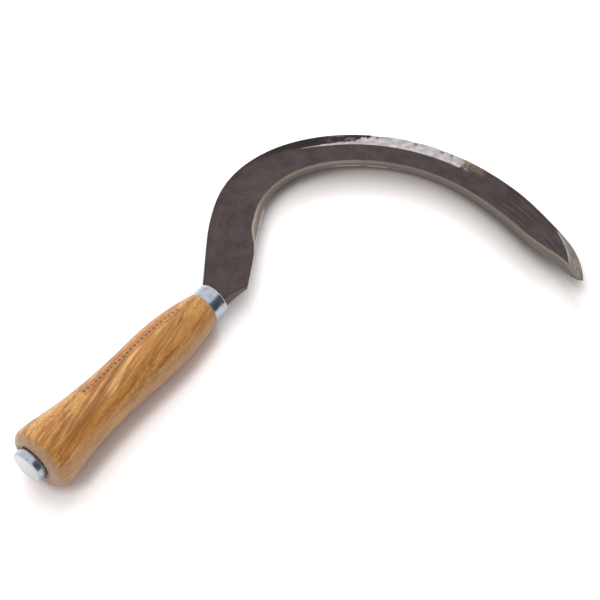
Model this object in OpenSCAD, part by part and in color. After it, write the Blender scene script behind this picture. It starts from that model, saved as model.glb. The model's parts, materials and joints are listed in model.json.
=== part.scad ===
// Hand sickle, lying on a flat surface as it rests by itself.
// The handle and what turns with it are drawn along X from the butt of the wood, and the blade from the
// front of the ferrule. The whole is then rolled, pitched, lifted and centred on its own box.

/* [Handle] */
// Length of the wood, butt face to ferrule front
grip_length = 141; // [110:1:170]
// Largest diameter, at the butt
butt_diameter = 38.4; // [34:0.2:44]
// Radius of the turned edge round the butt face
butt_round = 5.5; // [3:0.1:6]
// Diameter where the butt's flare starts to draw in quickly
flare_diameter = 36.6; // [32:0.2:40]
// Place of that turn along the handle
flare_at = 16; // [12:0.5:22]
// Diameter at the waist, where the fingers close
waist_diameter = 29.3; // [26:0.1:32]
// Place of the waist along the handle
waist_at = 62; // [50:1:75]
// Diameter at the front swelling
belly_diameter = 30.4; // [27:0.1:34]
// Place of the front swelling along the handle
belly_at = 94; // [85:1:102]
// Height of the wood's shoulder above the ferrule
shoulder_step = 0.1; // [0:0.05:0.8]

/* [Ferrule] */
// Outer diameter of the ferrule
ferrule_diameter = 20.6; // [19.8:0.1:23]
// Length of the ferrule
ferrule_length = 9.4; // [7:0.1:13]
// Wall of the ferrule
ferrule_wall = 1.0; // [0.8:0.1:1.4]
// Radius of the ferrule's rolled front edge
ferrule_round = 0.6; // [0.3:0.1:0.7]

/* [Butt nut and washer] */
// Diameter of the blind nut
nut_diameter = 20.4; // [18:0.1:21]
// How far the nut stands out of the butt face
nut_proud = 5.4; // [4.8:0.1:7]
// Radius of the nut's outer edge
nut_round = 1.2; // [0.5:0.1:2]
// Solid metal between the thread and the nut's face
nut_end_wall = 2.0; // [1.5:0.1:2.5]
// Diameter of the washer
washer_diameter = 21.4; // [18:0.1:21.6]
// Thickness of the washer
washer_thickness = 1.5; // [1:0.1:1.8]
// Width of the dark gap round the nut
counterbore_gap = 0.9; // [0.8:0.1:1.2]
// Depth of the counterbore in the butt
counterbore_depth = 2.0; // [1.9:0.1:3]

/* [Tang] */
// How far left of the handle's axis the tang and the nut sit
tang_offset = 1.8; // [0:0.1:2]
// Diameter of the tang inside the handle
tang_diameter = 7; // [6.6:0.1:7.6]
// Diameter of the threaded end
thread_diameter = 6; // [5:0.1:6.4]
// Length of the threaded end inside the handle
thread_run = 12; // [8:0.5:20]

/* [Neck] */
// Height of the blade's top face over the handle's axis, at the ferrule
neck_rise = 4.2; // [4:0.1:4.6]
// Distance from the axis to the blade's back, at the ferrule
neck_left = 9.1; // [8.4:0.1:9.2]
// Distance from the axis to the neck's cutting side, at the ferrule
neck_right = 5.9; // [5:0.1:6.5]
// Thickness of the neck at the ferrule
neck_thickness = 10; // [8.5:0.1:10.4]
// Slant of the neck's underside below the back
neck_undercut = 3.2; // [2.8:0.1:4.5]
// How far along the back the neck fans out to the heel
neck_run = 2.2; // [1:0.1:6]
// Downward tilt of the blade against the handle
blade_tilt = 2.6; // [1:0.1:4]

/* [Back of the blade] */
// Heading of the back where it leaves the ferrule
back_heading = 38.2; // [30:0.1:45]
// Straight stretch before the first bend
back_straight = 31.5; // [25:0.5:40]
// Radius of the shoulder bend
shoulder_radius = 143; // [120:1:200]
// Turn of the shoulder bend
shoulder_turn = 11.9; // [8:0.1:16]
// Radius of the knee, the tightest bend
knee_radius = 64; // [55:0.5:80]
// Turn of the knee
knee_turn = 33.9; // [25:0.1:40]
// Radius of the bend after the knee
rise_radius = 79.5; // [70:0.5:95]
// Turn of the bend after the knee
rise_turn = 20.4; // [15:0.1:26]
// Radius of the crown, the long top of the arc
crown_radius = 122; // [105:1:135]
// Turn of the crown
crown_turn = 58.8; // [50:0.1:64]
// Radius of the flat stretch before the point
far_radius = 191; // [160:1:240]
// Turn of the flat stretch
far_turn = 20.2; // [14:0.1:24]
// Radius of the last bend, at the point
point_radius = 43.5; // [36:0.5:60]
// Turn of the last bend
point_turn = 38.2; // [30:0.1:42]

/* [Section of the blade] */
// Width across the heel
heel_width = 25.4; // [22:0.1:28]
// Greatest width, at the knee
knee_width = 28.8; // [26:0.1:31]
// Width round the crown
crown_width = 21.4; // [19:0.1:25]
// Width before the point starts to draw in
far_width = 20.7; // [18:0.1:24]
// Thickness of the blade at the heel
heel_thickness = 3.2; // [2.6:0.1:4]
// Thickness of the blade from the knee on
blade_thickness = 2.2; // [1.8:0.1:2.5]
// Thickness left at the cutting edge
edge_thickness = 0.35; // [0.25:0.05:0.5]
// Width of the ground bevel along the crown
bevel_width = 3.1; // [2:0.1:4.5]
// Extra width of the bevel at the knee
bevel_knee_extra = 1.2; // [0:0.1:2]
// Extra width of the bevel at the point
bevel_point_extra = 2.6; // [1:0.1:3]
// Width of the raised back along the crown
rib_width = 5.8; // [4:0.1:6.5]
// Height of the raised back along the crown
rib_height = 2.8; // [1.5:0.1:3.2]
// Length of the facet ground on the back at the point
facet_length = 38; // [30:1:45]
// How fast that facet widens towards the point
facet_spread = 0.24; // [0.15:0.01:0.3]
// How steeply it falls to the outside
facet_slope = 0.24; // [0.15:0.01:0.3]

/* [Rest] */
// Roll of the tool towards the left of the handle as it lies
rest_roll = 2.7; // [0:0.1:4]

/* [Hidden] */

wood_colour = [0.78, 0.56, 0.30];
steel_colour = [0.31, 0.28, 0.27];
zinc_colour = [0.80, 0.83, 0.87];
round_fn = 96;

// Clearances between the pieces
seat_clear = 0.05;
bore_clear = 0.3;
thread_clear = 0.1;
thread_end_clear = 0.3;

butt_r = butt_diameter / 2;
ferrule_r = ferrule_diameter / 2;
ferrule_in_r = ferrule_r - ferrule_wall;
spigot_r = ferrule_in_r - seat_clear;
shoulder_r = ferrule_r + shoulder_step;
nut_r = nut_diameter / 2;
thread_r = thread_diameter / 2;
tang_r = tang_diameter / 2;
counterbore_r = nut_r + counterbore_gap;
ferrule_back = grip_length - ferrule_length;
washer_front = counterbore_depth - seat_clear;
nut_back = washer_front - washer_thickness - seat_clear;
thread_end = -nut_proud + nut_end_wall + thread_end_clear;

// How far the tang's rod runs into the neck, and pieces run into each other where they are joined or cut
tang_root = 2.5;
overlap = 1;

function smooth(f) = let(c = min(1, max(0, f))) c * c * (3 - 2 * c);
function ramp(s, from, to) = smooth((s - from) / (to - from));
function mix(a, b, f) = a + (b - a) * f;

// Points of a quarter round of radius r about [cr, cx], between two angles
function corner(cr, cx, r, from, to, steps) =
    [for (i = [0:steps]) let(a = mix(from, to, i / steps)) [cr + r * cos(a), cx + r * sin(a)]];

// Turned outline of the wood, as [radius, place] from the butt to the ferrule
flare_r = flare_diameter / 2;
waist_r = waist_diameter / 2;
belly_r = belly_diameter / 2;

// The butt's round leaves at least this flat ring of wood outside the counterbore
face_land = 0.7;
edge_round = min(butt_round, butt_r - counterbore_r - tang_offset - face_land);

// A stretch that leaves one radius level and reaches the next by a parabola
function draw_in(x, x0, r0, x1, r1) = mix(r0, r1, pow((x - x0) / (x1 - x0), 2));
function wood_r(x) =
    x < flare_at ? draw_in(x, edge_round, butt_r, flare_at, flare_r)
    : x < waist_at ? draw_in(x, waist_at, waist_r, flare_at, flare_r)
    : x < belly_at ? mix(waist_r, belly_r, ramp(x, waist_at, belly_at))
    : draw_in(x, belly_at, belly_r, ferrule_back, shoulder_r);

wood_steps = 42;
wood_outline = concat(
    corner(butt_r - edge_round, edge_round, edge_round, -90, 0, 8),
    [for (i = [1 : wood_steps - 1]) let(x = mix(edge_round, ferrule_back, i / wood_steps)) [wood_r(x), x]],
    [[shoulder_r, ferrule_back - seat_clear]]);

// The back of the blade is a chain of tangent bends that all turn to the right
bends = [
    [shoulder_radius, shoulder_turn],
    [knee_radius, knee_turn],
    [rise_radius, rise_turn],
    [crown_radius, crown_turn],
    [far_radius, far_turn],
    [point_radius, point_turn]];
function bend_length(i) = bends[i][0] * bends[i][1] * PI / 180;
function length_to(i) = i == 0 ? back_straight : length_to(i - 1) + bend_length(i - 1);
blade_length = length_to(len(bends));

// Where bend i starts, as [u, v, heading]
function after_bend(p, r, a) =
    [p[0] + r * (sin(p[2]) - sin(p[2] - a)), p[1] + r * (cos(p[2] - a) - cos(p[2])), p[2] - a];
function bend_start(i) = i == 0
    ? [back_straight * cos(back_heading), neck_left + back_straight * sin(back_heading), back_heading]
    : after_bend(bend_start(i - 1), bends[i - 1][0], bends[i - 1][1]);
bend_starts = [for (i = [0 : len(bends) - 1]) bend_start(i)];
bend_lengths = [for (i = [0 : len(bends) - 1]) length_to(i)];
function bend_at(s, i) = i + 1 < len(bends) && s > bend_lengths[i + 1] ? bend_at(s, i + 1) : i;

// The back at distance s from the ferrule, as [u, v, heading]
function back(s) = s <= back_straight
    ? [s * cos(back_heading), neck_left + s * sin(back_heading), back_heading]
    : let(i = bend_at(s, 0)) after_bend(bend_starts[i], bends[i][0],
                                        (s - bend_lengths[i]) / bends[i][0] * 180 / PI);

// Stretches of the blade over which its section changes, as lengths along the back
knee_lead = 11;
bevel_lead = 23;
bevel_settle = 8;
bevel_fade = 50;
rib_lead = 22;
rib_fade = 37;
crown_settle = 30;
point_length = 55;
point_settle = 41;
knee_at = bend_lengths[1] - knee_lead;
bevel_from = knee_at - bevel_lead;
crown_from = bend_lengths[3] + crown_settle;
point_from = blade_length - point_length;
facet_from = blade_length - facet_length;

// Small sizes of the section: the rim before the raised back starts, the narrow bevel at the heel, the
// softened corners, and what is left of the point and of the facet's outer side
rim_width = 1.4;
rim_rise = 0.3;
heel_bevel = 0.5;
heel_drop = 0.4;
crest_inset = 0.7;
back_chamfer = 0.5;
edge_lean = 0.1;
facet_side = 0.45;
blunt_point = 0.4;

function point_shape(s) = sqrt(max(0, 1 - pow((s - point_from) / point_length, 2)));
function width(s) =
    s < knee_at ? mix(heel_width, knee_width, sin(90 * max(0, s - neck_run) / (knee_at - neck_run)))
    : s < point_from ? mix(mix(knee_width, crown_width, ramp(s, knee_at, crown_from)), far_width,
                           max(0, s - crown_from) / (point_from - crown_from))
    : far_width * point_shape(s);
function thickness(s) = mix(heel_thickness, blade_thickness, ramp(s, neck_run, knee_at));
function bevel(s) = min(0.43 * width(s),
    mix(heel_bevel, bevel_width + bevel_knee_extra, ramp(s, bevel_from, knee_at))
    - bevel_knee_extra * ramp(s, knee_at + bevel_settle, crown_from - bevel_fade)
    + bevel_point_extra * ramp(s, point_from, point_from + point_settle));
function edge_drop(s) =
    mix(heel_drop, thickness(s) - edge_thickness, ramp(s, bevel_from, knee_at - bevel_settle));

// The raised back swells after the knee and fades out before the point, where the facet takes its place
function swell(s) = ramp(s, knee_at + rib_lead, crown_from) * (1 - ramp(s, facet_from - rib_fade, facet_from));
function facet(s) = facet_spread * max(0, s - facet_from);
function rib(s) = min(0.55 * width(s), mix(rim_width, rib_width, swell(s)) + facet(s));
function rib_rise(s) = max(facet_side - thickness(s), mix(rim_rise, rib_height, swell(s)) - facet_slope * facet(s));

// Section between the back and the cutting edge: [distance from the back, height over the top face]
function section(w, t, rise, rib_w, bev, drop, undercut) = [
    [undercut, -t],
    [0, -t + 0.3 * (t + rise)],
    [0, -t + 0.8 * (t + rise)],
    [crest_inset, rise],
    [mix(crest_inset, rib_w, 0.53), 0.4 * rise],
    [rib_w, 0],
    [w - bev, 0],
    [w, -drop],
    [w - edge_lean, -t]];

// Puts a point of the blade's own plane at its place against the handle
function on_handle(u, v, h) = [
    max(grip_length + seat_clear, grip_length + seat_clear + u * cos(blade_tilt) + h * sin(blade_tilt)),
    v,
    neck_rise - u * sin(blade_tilt) + h * cos(blade_tilt)];

// A ring from a point a of the back to a point b of the cutting side
function ring(a, b, sec) =
    let(d = [b[0] - a[0], b[1] - a[1]] / norm([b[0] - a[0], b[1] - a[1]]))
    [for (q = sec) on_handle(a[0] + d[0] * q[0], a[1] + d[1] * q[0], q[1])];
function across(s) = let(p = back(s)) [p[0] + width(s) * sin(p[2]), p[1] - width(s) * cos(p[2])];
function blade_ring(s) = ring(back(s), across(s),
    section(width(s), thickness(s), rib_rise(s), rib(s), bevel(s), edge_drop(s), back_chamfer));

// The neck fans out from the ferrule's front to the heel corner
heel_corner = across(neck_run);
neck_steps = 6;
function neck_side(f) = [mix(0, heel_corner[0], f), mix(-neck_right, heel_corner[1], f * f)];
function neck_ring(f) =
    let(a = back(neck_run * f), b = neck_side(f), t = mix(neck_thickness, heel_thickness, pow(f, 1.3)))
    ring(a, b, section(norm([b[0] - a[0], b[1] - a[1]]), t, rim_rise, rim_width, heel_bevel, heel_drop,
                       mix(neck_undercut, back_chamfer, f)));
neck_seat = [for (p = neck_ring(0)) [grip_length + seat_clear, p[1], p[2]]];

// Rings stand evenly along the blade, and closer and closer together towards the point
body_steps = 73;
point_steps = 20;
blade_rings = concat(
    [neck_seat],
    [for (i = [1 : neck_steps]) neck_ring(i / neck_steps)],
    [for (i = [1 : body_steps]) blade_ring(mix(neck_run, point_from, i / body_steps))],
    [for (i = [1 : point_steps])
        blade_ring(mix(point_from, blade_length - blunt_point, 1 - pow(1 - i / point_steps, 1.5)))]);

// How the tool lies: it touches with the butt's flare and one place of the blade's underside
function rolled(p) = [p[0], p[1] * cos(rest_roll) + p[2] * sin(rest_roll),
                      p[2] * cos(rest_roll) - p[1] * sin(rest_roll)];
function pitched(p) = [p[0] * cos(rest_pitch) + p[2] * sin(rest_pitch), p[1],
                       p[2] * cos(rest_pitch) - p[0] * sin(rest_pitch)];
underside = [for (r = blade_rings) for (k = [0, len(r) - 1]) rolled(r[k])];
rest_slope = min([for (p = underside) max([for (q = wood_outline) (p[2] + q[0]) / (p[0] - q[1])])]);
rest_pitch = atan(rest_slope);
rest_lift = max([for (q = wood_outline) q[1] * sin(rest_pitch) + q[0] * cos(rest_pitch)]);

// Box of the lying tool, from the blade's points and the nut's rounded edge
lying = [for (r = blade_rings) for (p = r) pitched(rolled(p))];
nut_reach = (nut_round - nut_proud) * cos(rest_pitch)
    - (nut_r - nut_round + tang_offset * sin(rest_roll)) * sin(rest_pitch) - nut_round;
centre_x = (max([for (p = lying) p[0]]) + nut_reach) / 2;
centre_y = (max([for (p = lying) p[1]]) + min([for (p = lying) p[1]])) / 2;

module lying_down() {
    translate([-centre_x, -centre_y, rest_lift])
        rotate([0, rest_pitch, 0])
            rotate([-rest_roll, 0, 0])
                children();
}

// Turns an outline of [radius, place] points about the handle's axis
module turned(outline) {
    rotate([0, 90, 0])
        rotate_extrude($fn = round_fn)
            polygon(outline);
}

module rod(r, from, to) {
    translate([from, 0, 0])
        rotate([0, 90, 0])
            cylinder(r = r, h = to - from, $fn = round_fn);
}

// Moves a piece from the handle's axis onto the tang's line
module on_tang() {
    translate([0, tang_offset, 0]) children();
}

module forged_blade() {
    n = len(blade_rings[0]);
    last = len(blade_rings) - 1;
    polyhedron(
        points = [for (r = blade_rings) for (p = r) p],
        faces = concat(
            [[for (k = [0 : n - 1]) k]],
            [for (i = [0 : last - 1]) for (k = [0 : n - 1]) let(m = (k + 1) % n)
                [i * n + k, (i + 1) * n + m, i * n + m]],
            [for (i = [0 : last - 1]) for (k = [0 : n - 1]) let(m = (k + 1) % n)
                [i * n + k, (i + 1) * n + k, (i + 1) * n + m]],
            [[for (k = [n - 1 : -1 : 0]) last * n + k]]),
        convexity = 6);
}

module blade() {
    thread_from = counterbore_depth + thread_run;
    color(steel_colour) lying_down() {
        union() {
            forged_blade();
            on_tang() rod(tang_r, thread_from, grip_length + tang_root);
            on_tang() rod(thread_r, thread_end, thread_from + overlap);
        }
    }
}

module ferrule() {
    color(zinc_colour) lying_down() turned(concat(
        [[ferrule_in_r, ferrule_back], [ferrule_r, ferrule_back]],
        corner(ferrule_r - ferrule_round, grip_length - ferrule_round, ferrule_round, 0, 90, 6),
        [[ferrule_in_r, grip_length]]));
}

module handle() {
    bore_r = tang_r + bore_clear;
    color(wood_colour) lying_down() difference() {
        turned(concat(
            [[0, 0]],
            wood_outline,
            [[spigot_r, ferrule_back - seat_clear], [spigot_r, grip_length], [0, grip_length]]));
        on_tang() rod(bore_r, -overlap, grip_length + overlap);
        on_tang() rod(counterbore_r, -overlap, counterbore_depth);
    }
}

module washer() {
    hole_r = thread_r + bore_clear;
    washer_r = washer_diameter / 2;
    washer_back = washer_front - washer_thickness;
    color(zinc_colour) lying_down() on_tang() turned([
        [hole_r, washer_back], [washer_r, washer_back], [washer_r, washer_front], [hole_r, washer_front]]);
}

module cap_nut() {
    tapped_r = thread_r + thread_clear;
    tapped_end = -nut_proud + nut_end_wall;
    color(zinc_colour) lying_down() on_tang() difference() {
        turned(concat(
            [[0, nut_back], [0, -nut_proud]],
            corner(nut_r - nut_round, nut_round - nut_proud, nut_round, -90, 0, 8),
            [[nut_r, nut_back]]));
        rod(tapped_r, tapped_end, nut_back + overlap);
    }
}

blade();
ferrule();
handle();
washer();
cap_nut();
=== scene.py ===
"""Hand sickle on a pale floor: the looks of each piece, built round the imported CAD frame."""
import json
import math

import bpy
from mathutils import Matrix, Vector, kdtree, noise


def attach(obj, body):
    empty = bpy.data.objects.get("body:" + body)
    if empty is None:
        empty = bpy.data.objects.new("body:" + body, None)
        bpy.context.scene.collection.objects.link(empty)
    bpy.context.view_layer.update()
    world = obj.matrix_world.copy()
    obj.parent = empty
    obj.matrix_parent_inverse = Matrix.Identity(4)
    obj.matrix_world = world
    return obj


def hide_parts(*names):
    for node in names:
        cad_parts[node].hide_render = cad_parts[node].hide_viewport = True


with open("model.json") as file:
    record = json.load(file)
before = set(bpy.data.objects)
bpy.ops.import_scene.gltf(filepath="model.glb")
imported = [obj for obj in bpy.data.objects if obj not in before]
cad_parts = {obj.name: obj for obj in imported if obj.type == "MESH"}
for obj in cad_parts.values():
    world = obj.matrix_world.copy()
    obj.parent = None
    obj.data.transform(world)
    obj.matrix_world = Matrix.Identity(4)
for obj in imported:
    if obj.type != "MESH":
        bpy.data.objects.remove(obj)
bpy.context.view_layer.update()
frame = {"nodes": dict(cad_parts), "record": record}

MM = 0.001
SEAT_CLEAR = 0.05

# The handle, in millimetres along its axis from the butt face of the wood
GRIP_LENGTH = 141.0
BUTT_R, BUTT_ROUND = 19.2, 5.5
FLARE_R, FLARE_AT = 18.3, 16.0
WAIST_R, WAIST_AT = 14.65, 62.0
BELLY_R, BELLY_AT = 15.2, 94.0
FERRULE_R, FERRULE_LENGTH, FERRULE_WALL = 10.3, 9.4, 1.0
FERRULE_ROUND, FERRULE_BACK_ROUND = 0.6, 0.25
FERRULE_BACK = GRIP_LENGTH - FERRULE_LENGTH
NUT_R, NUT_PROUD, NUT_BACK, NUT_ROUND = 10.2, 5.4, 0.4, 1.2
NUT_BACK_ROUND, NUT_FACE_RING, NUT_CENTRE = 0.3, 0.8, 0.02
COUNTERBORE_R, COUNTERBORE_DEPTH = 11.1, 2.0
COUNTERBORE_LIP, LIP_ROUND = 0.4, 0.12
TANG_OFFSET = 1.8
BORE_R = 3.8

# The wood's shoulder at the ferrule: how far its round is drawn in, and how far short it stops
SHOULDER_R, SHOULDER_RUN = 10.4, 0.35
SHOULDER_ROUND = ((0.05, 0.15), (0.25, SEAT_CLEAR))

# The blade, in its own plane: the back as a chain of bends, and the section's sizes
NECK_RISE, NECK_LEFT, NECK_RIGHT = 4.2, 9.1, 5.9
NECK_THICKNESS, NECK_UNDERCUT, NECK_RUN, NECK_EASE = 10.0, 3.2, 2.2, 1.3
BLADE_TILT = 2.6
BACK_HEADING, BACK_STRAIGHT = 38.2, 31.5
BENDS = [(143.0, 11.9), (64.0, 33.9), (79.5, 20.4), (122.0, 58.8), (191.0, 20.2), (43.5, 38.2)]
HEEL_WIDTH, KNEE_WIDTH, CROWN_WIDTH, FAR_WIDTH = 25.4, 28.8, 21.4, 20.7
HEEL_THICKNESS, BLADE_THICKNESS, EDGE_THICKNESS = 3.2, 2.2, 0.35
BEVEL_WIDTH, BEVEL_KNEE_EXTRA, BEVEL_POINT_EXTRA = 3.1, 1.2, 2.6
RIB_WIDTH, RIB_HEIGHT = 5.8, 2.8
FACET_LENGTH, FACET_SPREAD, FACET_SLOPE = 38.0, 0.24, 0.24
RIM_WIDTH, RIM_RISE, HEEL_BEVEL, HEEL_DROP = 1.4, 0.3, 0.5, 0.4
FACET_SIDE, BACK_CHAMFER, BLUNT_POINT = 0.45, 0.5, 0.4
CREST_AT, SLOPE_HOLLOW, EDGE_WALL = 0.8, 1.25, 0.1
BEVEL_SHARE, RIB_SHARE, DENT_SHARE = 0.43, 0.55, 0.15
REST_ROLL = 2.7

# Where along the back its sizes change, as distances from a bend, the knee, the crown or the point
KNEE_LEAD, KNEE_SETTLE, CROWN_LAG, CROWN_LEAD = 11.0, 8.0, 30.0, 50.0
BEVEL_RUN, RIB_DELAY, RIB_FADE = 23.0, 22.0, 37.0
POINT_LENGTH, POINT_SETTLE = 55.0, 41.0

# How finely the meshes are cut
TURNED_SIDES, SKIN_STEPS, NECK_STEPS = 192, 120, 10
SLOPE_STEPS, FACE_STEPS, BEVEL_STEPS, UNDER_STEPS = 5, 9, 4, 6
BLADE_STEP, POINT_STEP = 1.2, 0.6

# The hammered and polished stretch of the back: where its bright wedge starts, fills the back and
# ends. Dents are (place, depth, half width), and waves (per millimetre, seed, depth)
POLISH_START, POLISH_FULL, POLISH_END, TINT_END = 129.0, 182.0, 238.5, 252.0
POLISH_SPREAD = 0.05
DENTS = ((182.0, 0.45, 2.2), (206.0, 0.4, 1.8), (223.0, 0.55, 1.8), (229.5, 0.4, 1.4))
HAMMER_WAVES = ((0.16, 3.7, 0.28), (0.55, 9.1, 0.12))
HAMMER_LEAD, HAMMER_TAIL = 10.0, 15.0

# Spans along the blade over which a part of its looks comes in or goes out: (from, to)
HEEL_WARM = (30.0, 4.0)
WALL_OUT = (7.0, 3.0)
PALE_IN, PALE_OUT = (62.0, 85.0), (118.0, 95.0)
# Spans of the shade painted on the raised back after the knee
RISE_SHADE_IN, RISE_SHADE_OUT = (92.0, 125.0), (200.0, 185.0)
STREAKS_IN = (215.0, 285.0)
RIDGE_SOFTENS = (185.0, 215.0)
FLECKS_IN = (145.0, 158.0)
POLISH_IN, POLISH_GREY = (POLISH_START, POLISH_START + 4.0), (150.0, POLISH_START)
TINT_IN, TINT_OUT = (POLISH_END - 6.0, POLISH_END + 1.0), (TINT_END + 3.0, TINT_END - 3.0)
BEVEL_BRIGHT, BEVEL_DARKENS, BEVEL_PALES = (85.0, 45.0), (150.0, 200.0), (285.0, 325.0)
# Spans over which the highlight painted along the cutting edge fades out, comes back weakly, and fades again
EDGE_HIGHLIGHT_OUT, EDGE_HIGHLIGHT_AGAIN, EDGE_HIGHLIGHT_LAST = (76.0, 66.0), (145.0, 160.0), (205.0, 190.0)

# Dark veins and pale flames of the wood, the first flame being a painted satin highlight: place
# along the handle, angle round it, slope in degrees a millimetre, bend, start, end, half width in
# degrees, depth of the colour
GRAIN_SLANT = 14.0
VEINS = (
    (50.0, -5.0, 1.05, -0.009, 44.0, 84.0, 7.0, 0.75),
    (87.0, -20.0, 0.85, 0.0045, 48.0, 131.0, 8.0, 0.55),
    (90.0, -50.0, 0.6, -0.001, 52.0, 131.0, 6.0, 0.45),
    (16.0, -9.0, 1.7, 0.02, -2.0, 36.0, 9.0, 0.35),
    (18.0, -33.0, 0.45, 0.0, -2.0, 44.0, 5.0, 0.3),
)
# The first flame is a painted satin highlight; the other two are pale figure in the wood
FLAMES_AND_SHEEN = (
    (70.0, -1.0, 0.95, 0.0, 48.0, 92.0, 11.0, 0.7),
    (14.0, 30.0, 0.9, 0.0, 2.0, 44.0, 16.0, 0.5),
    (112.0, 22.0, 0.9, 0.0, 92.0, 133.0, 12.0, 0.5),
)
GRAIN_IN, GRAIN_OUT = 7.0, 12.0
KNOT_AT, KNOT_ANGLE, KNOT_SLOPE = 111.5, -7.0, 1.4

# Plain burnt row of dots along the handle, between two lines
DOT_ROW_FROM, DOT_ROW_TO, DOT_ROW_ANGLE = 42.0, 117.0, 22.0
DOT_PITCH, DOT_HALF, ROW_HALF = 3.0, 1.0, 2.5

# Depth of the fine relief in metres
STEEL_RELIEF, WOOD_RELIEF, ZINC_RELIEF = 0.00012, 0.00012, 0.0003

# The view of the photograph
VIEW_AIM = (0.022056, 0.016672, 0.0)
VIEW_HEADING, VIEW_ELEVATION, VIEW_ROLL = 37.588, 60.138, 3.682
VIEW_DISTANCE = 0.99167
VIEW_LENS, VIEW_SENSOR, VIEW_CLIP = 103.26, 36.0, 0.05

# Light: a bright studio dome with a dark patch, and a broad key that casts the shadows
LIGHT_LEVEL = 1.4
DOME_STRENGTH = 1.25
DARK_SIDE, DARK_INNER, DARK_OUTER = (0.39, -0.74, 0.54), 0.93, 0.78
KEY_PLACE, KEY_SIZE, KEY_POWER = (0.5, 0.85, 1.1), 1.4, 18.0

# The soft shadow painted on the floor: which way it falls, its depths, its reaches in metres, and how far
# it is moved and drawn in as shares of the reach
NECK_SIDE, POINT_SIDE = Vector((-0.27, -0.96, 0.0)), Vector((-0.79, -0.61, 0.0))
SHADE_SHIFT, SHADE_LEAD = 0.45, 0.40
NECK_REACH, CROWN_REACH = 0.021, 0.031
NECK_DEPTH, CROWN_DEPTH, TIP_DEPTH, TIP_LEAD = 0.1, 1.0, 0.6, 10.0
HANDLE_DEPTH, HANDLE_REACH = 0.5, 0.006
BLADE_DISC_STEP, HANDLE_DISCS = 1.0, 100

# The floor, in metres: its far edges, and the fine grid round the tool
FLOOR_EDGE, FLOOR_STEP = 3.0, 0.00125
FLOOR_FINE_X, FLOOR_FINE_Y = (-0.2, 0.2), (-0.15, 0.14)


def mix(a, b, f):
    return a + (b - a) * f


def ramp(x, start, end):
    f = min(1.0, max(0.0, (x - start) / (end - start)))
    return f * f * (3.0 - 2.0 * f)


def handle_to_row():
    """Matrix from the handle's own millimetres to the row's metres."""
    face = next(m for m in frame["record"]["mounts"] if m["name"] == "butt_face")
    pitch = math.asin(face["axis"][2])
    turn = Matrix.Rotation(pitch, 4, "Y") @ Matrix.Rotation(-math.radians(REST_ROLL), 4, "X")
    nut_face = turn @ Vector((-NUT_PROUD, TANG_OFFSET, 0.0)) * MM
    return Matrix.Translation(Vector(face["pos_m"]) - nut_face) @ turn @ Matrix.Scale(MM, 4)


TO_ROW = handle_to_row()


# Meshes

def add_piece(name, node, obj):
    obj.name = name
    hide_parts(node)
    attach(obj, "root")
    return obj


def loft(name, rings, closed, caps, sharp_angle):
    """A mesh through rings of handle-frame points. closed joins the last ring to the first."""
    n = len(rings[0])
    verts = [TO_ROW @ Vector(p) for ring in rings for p in ring]
    faces = []
    last = len(rings) if closed else len(rings) - 1
    for i in range(last):
        j = (i + 1) % len(rings)
        for k in range(n):
            m = (k + 1) % n
            faces.append((i * n + k, j * n + k, j * n + m, i * n + m))
    if caps:
        faces.append(tuple(reversed(range(n))))
        faces.append(tuple((len(rings) - 1) * n + k for k in range(n)))
    mesh = bpy.data.meshes.new(name)
    mesh.from_pydata(verts, [], faces)
    mesh.polygons.foreach_set("use_smooth", [True] * len(faces))
    mesh.set_sharp_from_angle(angle=math.radians(sharp_angle))
    mesh.update()
    obj = bpy.data.objects.new(name, mesh)
    bpy.context.scene.collection.objects.link(obj)
    return obj


def add_values(obj, name, values):
    attribute = obj.data.attributes.new(name, "FLOAT", "POINT")
    attribute.data.foreach_set("value", values)


def add_places(obj, rings):
    """Keeps each point's place in the handle's own millimetres, for the looks."""
    attribute = obj.data.attributes.new("place", "FLOAT_VECTOR", "POINT")
    attribute.data.foreach_set("vector", [c for ring in rings for p in ring for c in p])


# Back of the blade

def after_bend(place, radius, angle):
    u, v, h = place
    return (u + radius * (math.sin(h) - math.sin(h - angle)),
            v + radius * (math.cos(h - angle) - math.cos(h)), h - angle)


def straight(s):
    h = math.radians(BACK_HEADING)
    return (s * math.cos(h), NECK_LEFT + s * math.sin(h), h)


def bend_starts():
    """Each bend's start along the back and its (u, v, heading) there, and the blade's length."""
    s, place, starts = BACK_STRAIGHT, straight(BACK_STRAIGHT), []
    for radius, turn in BENDS:
        starts.append((s, place))
        s += radius * math.radians(turn)
        place = after_bend(place, radius, math.radians(turn))
    return starts, s


BEND_STARTS, BLADE_LENGTH = bend_starts()
KNEE_AT = BEND_STARTS[1][0] - KNEE_LEAD
CROWN_FROM = BEND_STARTS[3][0] + CROWN_LAG
BEVEL_FROM = KNEE_AT - BEVEL_RUN
RIB_FROM = KNEE_AT + RIB_DELAY
POINT_FROM = BLADE_LENGTH - POINT_LENGTH
FACET_FROM = BLADE_LENGTH - FACET_LENGTH
GRIND_IN = (BEVEL_FROM - 2.0, BEVEL_FROM + 5.0)
FACET_IN = (FACET_FROM - 1.0, FACET_FROM + 3.0)
GLEAM_OUT = (BLADE_LENGTH - 8.0, BLADE_LENGTH - 20.0)


def back(s):
    if s <= BACK_STRAIGHT:
        return straight(s)
    index = max(i for i, (start, _) in enumerate(BEND_STARTS) if s >= start)
    start, place = BEND_STARTS[index]
    return after_bend(place, BENDS[index][0], (s - start) / BENDS[index][0])


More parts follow.
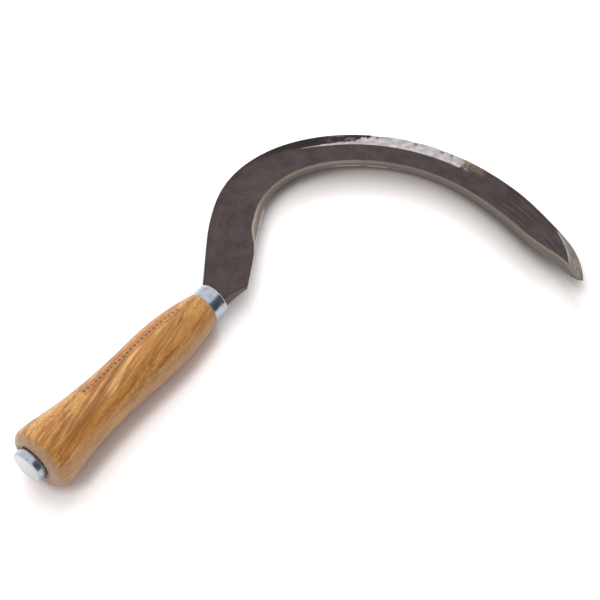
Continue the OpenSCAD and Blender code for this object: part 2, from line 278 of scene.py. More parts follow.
def width(s):
    if s < KNEE_AT:
        f = max(0.0, s - NECK_RUN) / (KNEE_AT - NECK_RUN)
        return mix(HEEL_WIDTH, KNEE_WIDTH, math.sin(math.pi / 2 * f))
    if s < POINT_FROM:
        settled = max(0.0, s - CROWN_FROM) / (POINT_FROM - CROWN_FROM)
        return mix(mix(KNEE_WIDTH, CROWN_WIDTH, ramp(s, KNEE_AT, CROWN_FROM)), FAR_WIDTH, settled)
    f = (s - POINT_FROM) / POINT_LENGTH
    return FAR_WIDTH * math.sqrt(max(0.0, 1.0 - f * f))


def thickness(s):
    return mix(HEEL_THICKNESS, BLADE_THICKNESS, ramp(s, NECK_RUN, KNEE_AT))


def bevel(s):
    wide = mix(HEEL_BEVEL, BEVEL_WIDTH + BEVEL_KNEE_EXTRA, ramp(s, BEVEL_FROM, KNEE_AT))
    wide -= BEVEL_KNEE_EXTRA * ramp(s, KNEE_AT + KNEE_SETTLE, CROWN_FROM - CROWN_LEAD)
    wide += BEVEL_POINT_EXTRA * ramp(s, POINT_FROM, POINT_FROM + POINT_SETTLE)
    return min(BEVEL_SHARE * width(s), wide)


def edge_drop(s):
    return mix(HEEL_DROP, thickness(s) - EDGE_THICKNESS, ramp(s, BEVEL_FROM, KNEE_AT - KNEE_SETTLE))


def swell(s):
    """The raised back swells after the knee and fades out before the facet at the point."""
    return ramp(s, RIB_FROM, CROWN_FROM) * (1.0 - ramp(s, FACET_FROM - RIB_FADE, FACET_FROM))


def facet(s):
    return FACET_SPREAD * max(0.0, s - FACET_FROM)


def rib(s):
    return min(RIB_SHARE * width(s), mix(RIM_WIDTH, RIB_WIDTH, swell(s)) + facet(s))


def rib_rise(s):
    return max(FACET_SIDE - thickness(s), mix(RIM_RISE, RIB_HEIGHT, swell(s)) - FACET_SLOPE * facet(s))


def hammered(s):
    """How far the hammer has driven the crest of the back inward, with a few deeper dents."""
    risen = ramp(s, POLISH_START - HAMMER_LEAD, POLISH_FULL)
    stretch = risen * (1.0 - ramp(s, TINT_END, TINT_END + HAMMER_TAIL))
    waves = sum(depth * (0.5 + 0.5 * noise.noise(Vector((s * pace, seed, 0.0))))
                for pace, seed, depth in HAMMER_WAVES)
    dents = sum(depth * math.exp(-((s - at) / wide) ** 2) for at, depth, wide in DENTS)
    return stretch * waves + dents


def back_side(t, rise, undercut, dent):
    """Points up the outer side of the back, from the underside to the crest."""
    side = t + rise
    return [
        (undercut, -t),
        (0.15 * undercut, -t + 0.12 * side),
        (0.4 * dent, -t + 0.3 * side),
        (0.7 * dent, -t + 0.7 * side),
        (dent + 0.12, 0.88 * rise - 0.1),
        (dent + 0.4, rise - 0.03 - 0.3 * dent),
        (dent + CREST_AT, rise - 0.4 * dent),
    ]


def section(w, t, rise, rib_w, bev, drop, undercut, dent):
    """Points across the blade: (distance from the back, height over the top face)."""
    outline = back_side(t, rise, undercut, dent)
    crest, crest_height = outline[-1]
    for i in range(1, SLOPE_STEPS):
        f = i / SLOPE_STEPS
        outline.append((mix(crest, rib_w, f), crest_height * (1.0 - f) ** SLOPE_HOLLOW))
    outline += [(mix(rib_w, w - bev, i / FACE_STEPS), 0.0) for i in range(FACE_STEPS + 1)]
    for i in range(1, BEVEL_STEPS + 1):
        outline.append((w - bev * (1.0 - i / BEVEL_STEPS), -drop * i / BEVEL_STEPS))
    outline += [(mix(w - EDGE_WALL, undercut, i / UNDER_STEPS), -t) for i in range(UNDER_STEPS)]
    return outline


def on_handle(u, v, h):
    a = math.radians(BLADE_TILT)
    x = GRIP_LENGTH + SEAT_CLEAR + u * math.cos(a) + h * math.sin(a)
    return (max(GRIP_LENGTH + SEAT_CLEAR, x), v, NECK_RISE - u * math.sin(a) + h * math.cos(a))


def ring(a, b, outline):
    span = math.hypot(b[0] - a[0], b[1] - a[1])
    d = ((b[0] - a[0]) / span, (b[1] - a[1]) / span)
    return [on_handle(a[0] + d[0] * t, a[1] + d[1] * t, h) for t, h in outline]


def neck_rings():
    u, v, h = back(NECK_RUN)
    heel = (u + HEEL_WIDTH * math.sin(h), v - HEEL_WIDTH * math.cos(h))
    for i in range(NECK_STEPS):
        f = i / NECK_STEPS
        a = back(NECK_RUN * f)
        b = (heel[0] * f, mix(-NECK_RIGHT, heel[1], f * f))
        w = math.hypot(b[0] - a[0], b[1] - a[1])
        t = mix(NECK_THICKNESS, HEEL_THICKNESS, f ** NECK_EASE)
        under = mix(NECK_UNDERCUT, BACK_CHAMFER, f)
        outline = section(w, t, RIM_RISE, RIM_WIDTH, HEEL_BEVEL, HEEL_DROP, under, 0.0)
        yield NECK_RUN * f, w, RIM_WIDTH, HEEL_BEVEL, outline, ring(a, b, outline)


def body_rings():
    s = NECK_RUN
    while s < BLADE_LENGTH - BLUNT_POINT:
        u, v, h = back(s)
        w, rib_w, bev = width(s), rib(s), bevel(s)
        dent = min(hammered(s), DENT_SHARE * rib_w)
        outline = section(w, thickness(s), rib_rise(s), rib_w, bev, edge_drop(s), BACK_CHAMFER, dent)
        far_side = (u + w * math.sin(h), v - w * math.cos(h))
        yield s, w, rib_w, bev, outline, ring((u, v), far_side, outline)
        s += BLADE_STEP if s < POINT_FROM else POINT_STEP


def build_blade():
    """The blade, with each point's distances on it in millimetres, for its looks."""
    stations = [*neck_rings(), *body_rings()]
    obj = loft("forged_blade", [station[-1] for station in stations],
               closed=False, caps=True, sharp_angle=22.0)
    names = ("along", "across", "height", "past_ridge", "past_grind", "from_edge")
    points = [(s, t, h, t - rib_w, t - (w - bev), w - t)
              for s, w, rib_w, bev, outline, _ in stations for t, h in outline]
    for name, values in zip(names, zip(*points)):
        add_values(obj, name, values)
    return obj


# Turned pieces

def circle(x, radius, offset):
    steps = [2.0 * math.pi * i / TURNED_SIDES for i in range(TURNED_SIDES)]
    return [(x, offset + radius * math.sin(a), radius * math.cos(a)) for a in steps]


def corner(centre_r, centre_x, radius, start, end, steps):
    """(radius, place) points of a quarter round."""
    angles = [math.radians(mix(start, end, i / steps)) for i in range(steps + 1)]
    return [(centre_r + radius * math.cos(a), centre_x + radius * math.sin(a)) for a in angles]


def wood_radius(x):
    if x < FLARE_AT:
        return mix(BUTT_R, FLARE_R, ((x - BUTT_ROUND) / (FLARE_AT - BUTT_ROUND)) ** 2)
    if x < WAIST_AT:
        return mix(WAIST_R, FLARE_R, ((x - WAIST_AT) / (FLARE_AT - WAIST_AT)) ** 2)
    if x < BELLY_AT:
        return mix(WAIST_R, BELLY_R, ramp(x, WAIST_AT, BELLY_AT))
    return mix(BELLY_R, SHOULDER_R, ((x - BELLY_AT) / (FERRULE_BACK - BELLY_AT)) ** 2)


def handle_skin():
    """(radius, place) points of the outside, from the butt to the end of the spigot."""
    spigot_r = FERRULE_R - FERRULE_WALL - SEAT_CLEAR
    skin = corner(BUTT_R - BUTT_ROUND, BUTT_ROUND, BUTT_ROUND, -90, 0, steps=14)
    for i in range(1, SKIN_STEPS):
        x = mix(BUTT_ROUND, FERRULE_BACK - SHOULDER_RUN, i / (SKIN_STEPS - 1))
        skin.append((wood_radius(x), x))
    skin += [(SHOULDER_R - inward, FERRULE_BACK - short) for inward, short in SHOULDER_ROUND]
    return skin + [(spigot_r, FERRULE_BACK - SEAT_CLEAR), (spigot_r, GRIP_LENGTH)]


def build_handle():
    hollow = [(BORE_R, GRIP_LENGTH), (BORE_R, COUNTERBORE_DEPTH), (COUNTERBORE_R, COUNTERBORE_DEPTH),
              (COUNTERBORE_R, COUNTERBORE_LIP), (COUNTERBORE_R + LIP_ROUND, LIP_ROUND),
              (COUNTERBORE_R + COUNTERBORE_LIP, 0.0)]
    rings = [circle(x, r, TANG_OFFSET) for r, x in hollow]
    rings += [circle(x, r, 0.0) for r, x in handle_skin()]
    obj = loft("turned_handle", rings, closed=True, caps=False, sharp_angle=35.0)
    add_places(obj, rings)
    angles = [math.degrees(math.atan2(p[1], p[2])) for r in rings for p in r]
    add_values(obj, "around", angles)
    return obj


def build_ferrule():
    inner, back_r = FERRULE_R - FERRULE_WALL, FERRULE_R - FERRULE_BACK_ROUND
    outline = [(inner, GRIP_LENGTH), (inner, FERRULE_BACK), (back_r, FERRULE_BACK)]
    outline += corner(back_r, FERRULE_BACK + FERRULE_BACK_ROUND, FERRULE_BACK_ROUND, -60, 0, steps=3)
    outline += corner(FERRULE_R - FERRULE_ROUND, GRIP_LENGTH - FERRULE_ROUND, FERRULE_ROUND,
                      0, 90, steps=8)
    rings = [circle(x, r, 0.0) for r, x in outline]
    obj = loft("bright_ferrule", rings, closed=True, caps=False, sharp_angle=30.0)
    add_places(obj, rings)
    return obj


def build_nut():
    """The blind nut, closed where its threaded hole ends inside the counterbore."""
    outline = [(NUT_CENTRE, NUT_BACK), (NUT_R - NUT_BACK_ROUND, NUT_BACK),
               (NUT_R, NUT_BACK - NUT_BACK_ROUND)]
    outline += corner(NUT_R - NUT_ROUND, NUT_ROUND - NUT_PROUD, NUT_ROUND, 0, -90, steps=10)
    outline += [(NUT_R - NUT_ROUND - NUT_FACE_RING, -NUT_PROUD), (NUT_CENTRE, -NUT_PROUD)]
    rings = [circle(x, r, TANG_OFFSET) for r, x in reversed(outline)]
    obj = loft("blind_nut", rings, closed=False, caps=True, sharp_angle=30.0)
    add_places(obj, rings)
    return obj


# Colours

def paint(red, green, blue):
    """Linear base colour that shows as these 0 to 255 display values under the studio's light."""
    values = [c / 255.0 for c in (red, green, blue)]
    linear = [c / 12.92 if c < 0.04045 else ((c + 0.055) / 1.055) ** 2.4 for c in values]
    return (*[c / LIGHT_LEVEL for c in linear], 1.0)


SKIN_DARK, SKIN_LIGHT, SKIN_GRIT = paint(57, 48, 49), paint(76, 65, 64), paint(89, 78, 77)
# The last is shade painted on the raised back
SKIN_HEEL, SKIN_PALE, SKIN_RISE_SHADE = paint(78, 65, 61), paint(88, 82, 78), paint(44, 38, 38)
STREAK_DARK, STREAK_LIGHT, FLECK = paint(48, 40, 42), paint(92, 82, 82), paint(134, 125, 120)
POLISH_DULL, POLISH_BRIGHT = paint(180, 172, 174), paint(224, 219, 220)
POLISH_FIRST, DENT_SHADE, HEAT_TINT = paint(150, 138, 132), paint(92, 84, 86), paint(132, 114, 98)
BEVEL_DARK, BEVEL_LIGHT, BEVEL_KNEE = paint(124, 114, 106), paint(148, 137, 127), paint(180, 168, 156)
BEVEL_CROWN, BEVEL_POINT, BEVEL_FOOT = paint(106, 98, 90), paint(130, 123, 112), paint(92, 84, 78)
# The first is a highlight painted along the cutting edge
EDGE_HIGHLIGHT, NECK_WALL = paint(206, 200, 190), paint(108, 98, 90)
FACET_DARK, FACET_LIGHT, FACET_GLEAM = paint(112, 105, 96), paint(146, 140, 130), paint(180, 174, 166)

WOOD_DARK, WOOD_LIGHT = paint(164, 106, 48), paint(212, 160, 88)
WOOD_WARM, WOOD_ZONE = paint(202, 136, 60), paint(186, 128, 62)
# The pale flame colour also paints a satin highlight on the handle
FLAME_AND_SHEEN_PALE, VEIN_DARK, FIBRE_DARK = paint(232, 188, 124), paint(120, 70, 26), paint(138, 84, 34)
KNOT_DARK, PORE_DARK = paint(84, 54, 36), paint(122, 74, 36)
# The first is painted shade on the handle's lower side, tinted warm by light from the floor
WOOD_LOW_SIDE_SHADE, WOOD_BUTT_RIM = paint(182, 138, 98), paint(158, 134, 112)
SCORCHED, BURNT = paint(164, 98, 56), paint(104, 60, 38)

ZINC_DARK, ZINC_LIGHT = (0.32, 0.35, 0.395, 1.0), (0.39, 0.43, 0.475, 1.0)
# The second is a highlight painted along the ferrule's front rim
ZINC_NUT_FACE, ZINC_RIM_HIGHLIGHT = (0.455, 0.47, 0.485, 1.0), (0.66, 0.69, 0.73, 1.0)

# The even floor, and the colours of the painted shadow under the blade and, warmer, next to the handle
PAPER, PAPER_SHADE, PAPER_WARM_SHADE = (0.95, 0.918, 0.908, 1.0), (0.18, 0.157, 0.145, 1.0), (0.3, 0.16, 0.1, 1.0)
DOME_WHITE, DOME_DARK = (1.0, 1.0, 1.0, 1.0), (0.12, 0.12, 0.145, 1.0)


# Materials

class Graph:
    """Short calls for adding and joining the nodes of one tree."""

    def __init__(self, tree):
        self.tree = tree

    def node(self, kind, inputs, **settings):
        made = self.tree.nodes.new("ShaderNode" + kind)
        for key, value in settings.items():
            setattr(made, key, value)
        for key, value in inputs.items():
            self.feed(made.inputs[key], value)
        return made

    def feed(self, socket, value):
        if isinstance(value, bpy.types.NodeSocket):
            self.tree.links.new(value, socket)
        else:
            socket.default_value = value

    def math(self, operation, a, b=0.0):
        return self.node("Math", {0: a, 1: b}, operation=operation).outputs[0]

    def times(self, first, *others):
        for other in others:
            first = self.math("MULTIPLY", first, other)
        return first

    def plus(self, first, *others):
        for other in others:
            first = self.math("ADD", first, other)
        return first

    def size(self, value):
        return self.math("ABSOLUTE", value)

    def fade(self, value, start, end, low=0.0, high=1.0):
        """Eases from low to high while value runs from start to end."""
        inputs = {"Value": value, "From Min": start, "From Max": end, "To Min": low, "To Max": high}
        return self.node("MapRange", inputs, interpolation_type="SMOOTHSTEP").outputs[0]

    def blend(self, amount, a, b):
        return self.node("Mix", {0: amount, 6: a, 7: b}, data_type="RGBA").outputs[2]

    def noise(self, place, detail=3.0, roughness=0.55):
        inputs = {"Vector": place, "Scale": 1.0, "Detail": detail, "Roughness": roughness}
        return self.node("TexNoise", inputs).outputs[0]

    def value(self, name):
        return self.node("Attribute", {}, attribute_name=name).outputs["Fac"]

    def place(self, x, y, z):
        return self.node("CombineXYZ", {0: x, 1: y, 2: z}).outputs[0]

    def split(self, name):
        vector = self.node("Attribute", {}, attribute_name=name).outputs["Vector"]
        return self.node("SeparateXYZ", {0: vector}).outputs

    def bump(self, height, distance, strength):
        inputs = {"Strength": strength, "Distance": distance, "Height": height}
        return self.node("Bump", inputs).outputs[0]


class BladeGraph(Graph):
    """The blade's tree, with the distances on the blade and the noises that its looks share."""

    def __init__(self, tree):
        super().__init__(tree)
        self.along, self.across, self.height = map(self.value, ("along", "across", "height"))
        self.ridge, self.grind, self.edge = map(self.value, ("past_ridge", "past_grind", "from_edge"))
        self.depth = self.times(self.ridge, -1.0)
        self.grit = self.noise(self.at(1.1, 1.1, seed=2.0), detail=3.0, roughness=0.7)
        self.patches = self.noise(self.at(0.22, 0.5, seed=6.0), detail=4.0, roughness=0.65)
        self.wobble = self.plus(self.noise(self.at(0.35, 0.2, seed=4.0)), -0.5)

    def at(self, along_scale, across_scale, seed):
        return self.place(self.times(self.along, along_scale), self.times(self.across, across_scale), seed)

    def over(self, span, low=0.0, high=1.0):
        """Eases from low to high over a span along the blade."""
        return self.fade(self.along, span[0], span[1], low, high)


class WoodGraph(Graph):
    """The handle's tree, with its places turned into the slanted grain."""

    def __init__(self, tree):
        super().__init__(tree)
        self.x, y, self.z = self.split("place")
        self.around = self.value("around")
        slant = math.radians(GRAIN_SLANT)
        self.run = self.plus(self.times(self.x, math.cos(slant)), self.times(y, math.sin(slant)))
        self.side = self.plus(self.times(y, math.cos(slant)), self.times(self.x, -math.sin(slant)))

    def fibres(self, run_scale, side_scale, seed, detail=3.0):
        """Noise drawn out along the grain."""
        run, side = self.times(self.run, run_scale), self.times(self.side, side_scale)
        where = self.place(run, side, self.plus(self.times(self.z, side_scale), seed))
        return self.noise(where, detail, roughness=0.6)


def new_material(name, kind=Graph, **settings):
    material = bpy.data.materials.new(name)
    material.use_nodes = True
    shader = material.node_tree.nodes["Principled BSDF"]
    graph = kind(material.node_tree)
    for key, value in settings.items():
        graph.feed(shader.inputs[key.replace("_", " ")], value)
    return material, graph, shader


def dress(obj, material):
    obj.data.materials.clear()
    obj.data.materials.append(material)


# Looks of the blade

def forging_skin(g):
    """Dark skin, streaked lengthwise towards the point, with shade painted on the first raised stretch."""
    mottle = g.noise(g.at(0.09, 0.13, seed=1.0), detail=5.0, roughness=0.7)
    streaks = g.noise(g.at(0.03, 1.0, seed=3.0), detail=4.0, roughness=0.65)
    skin = g.blend(g.fade(mottle, 0.34, 0.66), SKIN_DARK, SKIN_LIGHT)
    skin = g.blend(g.fade(g.grit, 0.42, 0.68, 0.0, 0.3), skin, SKIN_GRIT)
    skin = g.blend(g.over(HEEL_WARM, 0.0, 0.3), skin, SKIN_HEEL)
    pale = g.times(g.over(PALE_IN), g.over(PALE_OUT), g.fade(g.grind, -14.0, -7.0))
    skin = g.blend(g.times(pale, 0.3), skin, SKIN_PALE)
    far = g.over(STREAKS_IN)
    skin = g.blend(g.times(far, g.fade(streaks, 0.5, 0.4), 0.55), skin, STREAK_DARK)
    skin = g.blend(g.times(far, g.fade(streaks, 0.52, 0.64), 0.45), skin, STREAK_LIGHT)
    # Shade painted on the raised back after the knee
    risen = g.times(g.fade(g.depth, -0.3, 1.6), g.over(RISE_SHADE_IN), g.over(RISE_SHADE_OUT))
    return g.blend(g.times(risen, 0.75), skin, SKIN_RISE_SHADE)


def polish_marks(g):
    """Where the back is polished, where it is flecked, and where heat has tinted it.

    The polish is a wedge that grows from the ridge until it fills the back, with ragged ends."""
    soft = g.over(RIDGE_SOFTENS, 0.12, 0.5)
    on_back = g.fade(g.plus(g.ridge, g.times(g.wobble, 0.8)), soft, g.times(soft, -1.0))
    ragged = g.plus(g.along, g.times(g.wobble, 14.0))
    reach = g.plus(g.times(g.plus(g.along, -POLISH_START), POLISH_SPREAD), g.times(g.wobble, 1.6),
                   g.fade(ragged, POLISH_FULL - 16.0, POLISH_FULL + 10.0, 0.0, 5.0))
    band = g.fade(g.plus(g.depth, g.times(reach, -1.0)), 0.15, -0.35)
    torn = g.plus(ragged, g.times(g.plus(g.patches, -0.5), 18.0))
    ended = g.fade(torn, POLISH_END + 4.0, POLISH_END - 4.0)
    polished = g.times(on_back, band, ended, g.over(POLISH_IN))
    flecks = g.times(on_back, g.fade(g.patches, 0.5, 0.6), g.over(FLECKS_IN), ended)
    clouds = g.fade(g.noise(g.at(0.6, 0.9, seed=7.0), detail=2.0), 0.36, 0.6, 0.45, 1.0)
    tint = g.times(on_back, clouds, g.over(TINT_IN), g.over(TINT_OUT), g.fade(g.depth, 0.2, 3.0))
    return polished, flecks, tint


def polished_steel(g):
    bright = g.blend(g.fade(g.patches, 0.35, 0.7), POLISH_DULL, POLISH_BRIGHT)
    bright = g.blend(g.over(POLISH_GREY, 0.0, 0.7), bright, POLISH_FIRST)
    for dent_at, _, _ in DENTS:
        near = g.fade(g.size(g.plus(g.along, -dent_at)), 1.7, 0.3)
        bright = g.blend(g.times(near, g.fade(g.depth, 2.2, 4.2), 0.8), bright, DENT_SHADE)
    return bright


def ground_steel(g, scratches):
    """The bevel's steel, and where a highlight is painted along its edge."""
    steel = g.blend(g.fade(scratches, 0.35, 0.65), BEVEL_DARK, BEVEL_LIGHT)
    steel = g.blend(g.over(BEVEL_BRIGHT, 0.0, 0.7), steel, BEVEL_KNEE)
    steel = g.blend(g.over(BEVEL_DARKENS, 0.0, 0.7), steel, BEVEL_CROWN)
    steel = g.blend(g.over(BEVEL_PALES, 0.0, 0.8), steel, BEVEL_POINT)
    steel = g.blend(g.fade(g.grind, 1.0, 1.9, 0.0, 0.6), steel, BEVEL_FOOT)
    # A highlight painted along the edge, broken up, on two stretches of the blade
    stretches = g.plus(g.over(EDGE_HIGHLIGHT_OUT), g.times(g.over(EDGE_HIGHLIGHT_AGAIN), g.over(EDGE_HIGHLIGHT_LAST), 0.4))
    broken = g.fade(g.noise(g.at(0.09, 0.0, seed=9.0), detail=2.0), 0.34, 0.5)
    return steel, g.times(g.fade(g.edge, 0.55, 0.15), broken, stretches)


def facet_steel(g):
    streaks = g.noise(g.at(0.12, 1.3, seed=10.0), detail=4.0, roughness=0.6)
    steel = g.blend(g.fade(streaks, 0.4, 0.6), FACET_DARK, FACET_LIGHT)
    gleam = g.times(g.fade(g.depth, 1.6, 0.5), g.over(GLEAM_OUT))
    return g.blend(g.times(gleam, 0.6), steel, FACET_GLEAM)


def blade_look():
    material, g, shader = new_material("forged_and_ground_steel", BladeGraph, Specular_IOR_Level=0.15)
    polished, flecks, tint = polish_marks(g)
    scratched = g.plus(g.times(g.along, 2.6), g.times(g.across, 1.2))
    scratches = g.noise(g.place(scratched, g.times(g.across, 0.35), 8.0))
    ground = g.times(g.fade(g.plus(g.grind, g.times(g.wobble, 0.35)), -0.08, 0.08), g.over(GRIND_IN))
    steel, edge_glint = ground_steel(g, scratches)
    faceted = g.times(g.fade(g.ridge, 0.1, -0.1), g.over(FACET_IN))
    wall = g.times(g.fade(g.height, -0.35, -0.7), g.over(WALL_OUT), g.fade(g.edge, 1.2, 0.2))

    colour = g.blend(g.times(flecks, 0.55), forging_skin(g), FLECK)
    colour = g.blend(polished, colour, polished_steel(g))
    colour = g.blend(g.times(tint, 0.7), colour, HEAT_TINT)
    colour = g.blend(ground, colour, steel)
    # Painted highlight along the cutting edge
    colour = g.blend(g.times(ground, edge_glint), colour, EDGE_HIGHLIGHT)
    colour = g.blend(faceted, colour, facet_steel(g))
    colour = g.blend(g.times(wall, 0.85), colour, NECK_WALL)
    bare = g.math("MAXIMUM", g.times(ground, 0.45), g.times(faceted, 0.45))
    bare = g.math("MAXIMUM", bare, polished)
    g.feed(shader.inputs["Base Color"], colour)
    g.feed(shader.inputs["Metallic"], g.fade(bare, 0.0, 1.0, 0.0, 0.6))
    rough = g.plus(g.fade(bare, 0.0, 1.0, 0.55, 0.36), g.times(g.plus(g.grit, -0.5), 0.18))
    g.feed(shader.inputs["Roughness"], rough)
    relief = g.plus(g.times(g.grit, 0.35), g.times(g.noise(g.at(0.5, 0.5, seed=11.0)), 0.8),
                    g.times(scratches, ground, 0.5), g.times(g.patches, polished, 2.0))
    g.feed(shader.inputs["Normal"], g.bump(relief, STEEL_RELIEF, 0.55))
    return material


# Looks of the wood

def grain_marks(g, lines, wobble):
    """How strongly the veins, or the pale flames with their painted highlight, show at a place on the wood.
    """
    marks = 0.0
    for place, angle, slope, bend, start, end, half, strength in lines:
        run = g.plus(g.x, -place)
        path = g.plus(g.times(run, slope), g.times(run, run, bend), angle)
        off = g.size(g.plus(g.around, g.times(path, -1.0), wobble))
        mark = g.times(g.fade(off, half, half * 0.15), g.fade(g.x, start, start + GRAIN_IN),
                       g.fade(g.x, end, end - GRAIN_OUT), strength)
        marks = g.math("MAXIMUM", marks, mark)
    return marks


def knot_mark(g):
    """A short dark streak that follows the grain."""
    run = g.plus(g.x, -KNOT_AT)
    off = g.plus(g.around, -KNOT_ANGLE, g.times(run, -KNOT_SLOPE))
    far = g.plus(g.times(g.size(run), 0.14), g.times(g.size(off), 0.3))
    return g.times(g.fade(far, 1.1, 0.3), g.fade(g.fibres(0.15, 0.8, seed=41.0), 0.38, 0.55, 0.5, 1.0))


def dot_row(g):
    """A plain burnt row of dots between two thin lines, and the scorched wood round it."""
    over = g.times(g.plus(g.around, -DOT_ROW_ANGLE), math.radians(BELLY_R))
    step = g.math("FRACT", g.times(g.plus(g.x, -DOT_ROW_FROM), 1.0 / DOT_PITCH))
    run = g.times(g.plus(step, -0.5), DOT_PITCH)
    spread = g.math("SQRT", g.plus(g.times(run, run), g.times(over, over)))
    dots = g.fade(spread, DOT_HALF + 0.15, DOT_HALF - 0.2)
    lines = g.fade(g.size(g.plus(g.size(over), -ROW_HALF)), 0.35, 0.1)
    inside = g.times(g.fade(g.x, DOT_ROW_FROM - 0.2, DOT_ROW_FROM + 0.2),
                     g.fade(g.x, DOT_ROW_TO + 0.2, DOT_ROW_TO - 0.2))
    uneven = g.fade(g.fibres(0.4, 0.4, seed=51.0), 0.3, 0.6, 0.6, 0.95)
    burnt = g.times(g.math("MAXIMUM", dots, g.times(lines, 0.8)), inside, uneven)
    return burnt, g.times(g.fade(g.size(over), ROW_HALF + 1.2, ROW_HALF - 0.5), inside)


def bare_wood(g):
    """Long streaks and broad colour zones, with the flames, one a painted sheen, and the veins over them."""
    streak = g.fibres(0.012, 0.45, seed=3.0, detail=5.0)
    broad = g.fibres(0.018, 0.07, seed=9.0)
    zone = g.fibres(0.012, 0.05, seed=21.0, detail=1.0)
    wobble = g.times(g.plus(g.fibres(0.03, 0.3, seed=31.0), -0.5), 22.0)
    colour = g.blend(g.fade(streak, 0.42, 0.58), WOOD_DARK, WOOD_LIGHT)
    colour = g.blend(g.fade(broad, 0.47, 0.58, 0.0, 0.5), colour, WOOD_WARM)
    colour = g.blend(g.fade(zone, 0.5, 0.6, 0.0, 0.35), colour, WOOD_ZONE)
    # Pale flames, the first a painted satin highlight
    flames_and_sheen = g.times(grain_marks(g, FLAMES_AND_SHEEN, wobble), g.fade(streak, 0.35, 0.55, 0.6, 1.0))
    colour = g.blend(flames_and_sheen, colour, FLAME_AND_SHEEN_PALE)
    veins = g.times(grain_marks(g, VEINS, wobble), g.fade(streak, 0.4, 0.6, 1.0, 0.6))
    return g.blend(veins, colour, VEIN_DARK)


def wood_look():
    material, g, shader = new_material("varnished_wood", WoodGraph, Specular_IOR_Level=0.25,
                                       Coat_Weight=0.25, Coat_Roughness=0.2)
    fine = g.fibres(0.05, 2.4, seed=5.0, detail=4.0)
    pores = g.fade(g.fibres(0.22, 3.5, seed=15.0, detail=2.0), 0.6, 0.7)
    burnt, scorch = dot_row(g)
    colour = g.blend(g.fade(fine, 0.46, 0.58, 0.0, 0.6), bare_wood(g), FIBRE_DARK)
    colour = g.blend(g.times(knot_mark(g), 0.8), colour, KNOT_DARK)
    colour = g.blend(g.times(pores, 0.45), colour, PORE_DARK)
    # Painted shade on the lower side of the handle
    colour = g.blend(g.fade(g.around, -48.0, -72.0, 0.0, 0.5), colour, WOOD_LOW_SIDE_SHADE)
    colour = g.blend(g.fade(g.x, 5.0, 0.5, 0.0, 0.65), colour, WOOD_BUTT_RIM)
    colour = g.blend(g.times(scorch, 0.35), colour, SCORCHED)
    colour = g.blend(burnt, colour, BURNT)
    g.feed(shader.inputs["Base Color"], colour)
    g.feed(shader.inputs["Roughness"], g.fade(fine, 0.3, 0.7, 0.4, 0.54))
    relief = g.plus(fine, g.times(pores, -0.6), g.times(burnt, -0.8))
    g.feed(shader.inputs["Normal"], g.bump(relief, WOOD_RELIEF, 0.5))
    return material


# Looks of the ferrule, washer and nut

def zinc_look():
    material, g, shader = new_material("bright_zinc_plate", Metallic=1.0)
    x, y, z = g.split("place")
    cloud = g.noise(g.place(g.times(x, 0.3), g.times(y, 0.3), g.times(z, 0.3)))
    tone = g.blend(g.fade(cloud, 0.4, 0.6), ZINC_DARK, ZINC_LIGHT)
    tone = g.blend(g.fade(x, 0.3 - NUT_PROUD, -NUT_PROUD), tone, ZINC_NUT_FACE)
    # Painted highlight along the ferrule's front rim
    tone = g.blend(g.fade(x, GRIP_LENGTH - 0.7, GRIP_LENGTH - 0.3), tone, ZINC_RIM_HIGHLIGHT)
    g.feed(shader.inputs["Base Color"], tone)
    g.feed(shader.inputs["Roughness"], g.fade(cloud, 0.3, 0.7, 0.14, 0.22))
    g.feed(shader.inputs["Normal"], g.bump(cloud, ZINC_RELIEF, 0.4))
    return material


# Studio

def floor_disc(place, radius, reach, side, depth):
    """A disc of shade under a place on the tool: (middle, radius, reach, depth), in metres."""
    middle = TO_ROW @ Vector(place)
    moved = Vector((middle.x, middle.y, 0.0)) + side * SHADE_SHIFT * reach
    return moved, radius * MM, reach, depth


def blade_discs():
    discs = []
    s = NECK_RUN
    while s < BLADE_LENGTH - BLADE_DISC_STEP:
        u, v, h = back(s)
        half = width(s) / 2
        middle = on_handle(u + half * math.sin(h), v - half * math.cos(h), 0.0)
        f = ramp(s, 0.0, CROWN_FROM)
        side = NECK_SIDE.lerp(POINT_SIDE, f).normalized()
        tip = ramp(s, POINT_FROM - TIP_LEAD, BLADE_LENGTH)
        depth = mix(mix(NECK_DEPTH, CROWN_DEPTH, f), TIP_DEPTH, tip)
        discs.append(floor_disc(middle, half, mix(NECK_REACH, CROWN_REACH, f), side, depth))
        s += BLADE_DISC_STEP
    return discs


def handle_discs():
    discs = []
    for i in range(HANDLE_DISCS + 1):
        x = mix(BUTT_R, FERRULE_BACK - SHOULDER_R, i / HANDLE_DISCS)
        discs.append(floor_disc((x, 0.0, 0.0), wood_radius(x), HANDLE_REACH, NECK_SIDE, HANDLE_DEPTH))
    return discs


def shade_values(discs, places):
    """Depth of the soft shadow at each place on the floor."""
    tree = kdtree.KDTree(len(discs))
    for i, disc in enumerate(discs):
        tree.insert(disc[0], i)
    tree.balance()
    values = []
    for place in places:
        _, i, distance = tree.find(place)
        _, radius, reach, depth = discs[i]
        outside = distance - radius + SHADE_LEAD * reach
        values.append(depth * min(1.0, max(0.0, 1.0 - outside / reach)))
    return values


def grid_lines(fine_from, fine_to):
    """Places of the floor's grid lines: its two edges, with the fine steps between them."""
    count = round((fine_to - fine_from) / FLOOR_STEP)
    return [-FLOOR_EDGE, *[mix(fine_from, fine_to, i / count) for i in range(count + 1)], FLOOR_EDGE]


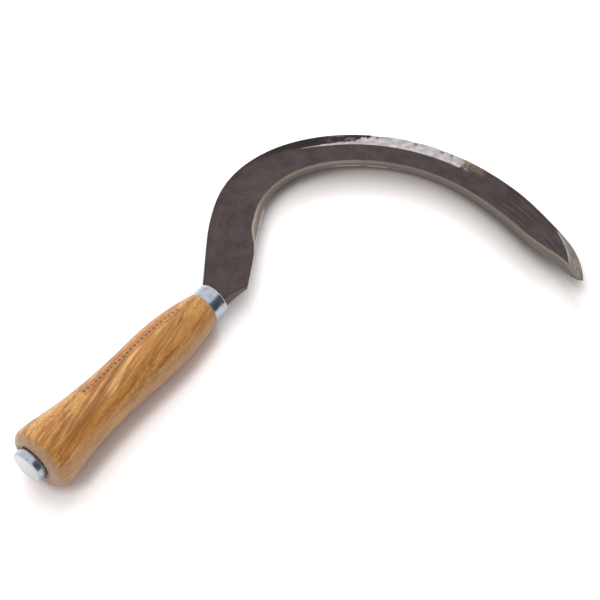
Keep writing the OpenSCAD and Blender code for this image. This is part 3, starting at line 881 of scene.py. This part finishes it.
def build_floor():
    """A large floor with a fine grid round the tool, which carries the painted soft shadow as a value."""
    xs, ys = grid_lines(*FLOOR_FINE_X), grid_lines(*FLOOR_FINE_Y)
    verts = [Vector((x, y, 0.0)) for y in ys for x in xs]
    n = len(xs)
    faces = [(j * n + i, j * n + i + 1, (j + 1) * n + i + 1, (j + 1) * n + i)
             for j in range(len(ys) - 1) for i in range(n - 1)]
    mesh = bpy.data.meshes.new("floor")
    mesh.from_pydata(verts, [], faces)
    floor = bpy.data.objects.new("floor", mesh)
    bpy.context.scene.collection.objects.link(floor)
    add_values(floor, "blade_shade", shade_values(blade_discs(), verts))
    add_values(floor, "handle_shade", shade_values(handle_discs(), verts))
    material, g, shader = new_material("floor_paper", Roughness=0.9)
    # Painted soft shadow under the blade and, warmer, next to the handle
    paper = g.blend(g.value("blade_shade"), PAPER, PAPER_SHADE)
    paper = g.blend(g.value("handle_shade"), paper, PAPER_WARM_SHADE)
    g.feed(shader.inputs["Base Color"], paper)
    dress(floor, material)


def build_dome():
    world = bpy.data.worlds.new("studio_dome")
    world.use_nodes = True
    g = Graph(world.node_tree)
    background = world.node_tree.nodes["Background"]
    direction = g.node("TexCoord", {}).outputs["Generated"]
    dark = Vector(DARK_SIDE).normalized()
    toward = g.node("VectorMath", {0: direction, 1: dark}, operation="DOT_PRODUCT").outputs["Value"]
    g.feed(background.inputs["Color"], g.blend(g.fade(toward, DARK_OUTER, DARK_INNER), DOME_WHITE, DOME_DARK))
    background.inputs["Strength"].default_value = DOME_STRENGTH
    bpy.context.scene.world = world


def build_key_light():
    """A soft box that faces straight down and shows in no reflection."""
    light = bpy.data.lights.new("key_light", "AREA")
    light.size = KEY_SIZE
    light.energy = KEY_POWER
    obj = bpy.data.objects.new("key_light", light)
    obj.location = KEY_PLACE
    obj.visible_glossy = False
    bpy.context.scene.collection.objects.link(obj)


def build_camera():
    heading, elevation = math.radians(VIEW_HEADING), math.radians(VIEW_ELEVATION)
    look = Vector((math.cos(heading) * math.cos(elevation), math.sin(heading) * math.cos(elevation),
                   -math.sin(elevation)))
    camera = bpy.data.cameras.new("photo_view")
    camera.lens = VIEW_LENS
    camera.sensor_width = VIEW_SENSOR
    camera.clip_start = VIEW_CLIP
    obj = bpy.data.objects.new("photo_view", camera)
    obj.location = Vector(VIEW_AIM) - look * VIEW_DISTANCE
    roll = Matrix.Rotation(-math.radians(VIEW_ROLL), 3, look)
    obj.rotation_euler = (roll @ look.to_track_quat("-Z", "Y").to_matrix()).to_euler()
    bpy.context.scene.collection.objects.link(obj)
    bpy.context.scene.camera = obj


zinc = zinc_look()
dress(add_piece("forged_blade", "blade", build_blade()), blade_look())
dress(add_piece("turned_handle", "handle", build_handle()), wood_look())
dress(add_piece("bright_ferrule", "ferrule", build_ferrule()), zinc)
dress(add_piece("blind_nut", "cap_nut", build_nut()), zinc)
dress(frame["nodes"]["washer"], zinc)
build_floor()
build_dome()
build_key_light()
build_camera()
bpy.context.scene.view_settings.view_transform = "Standard"
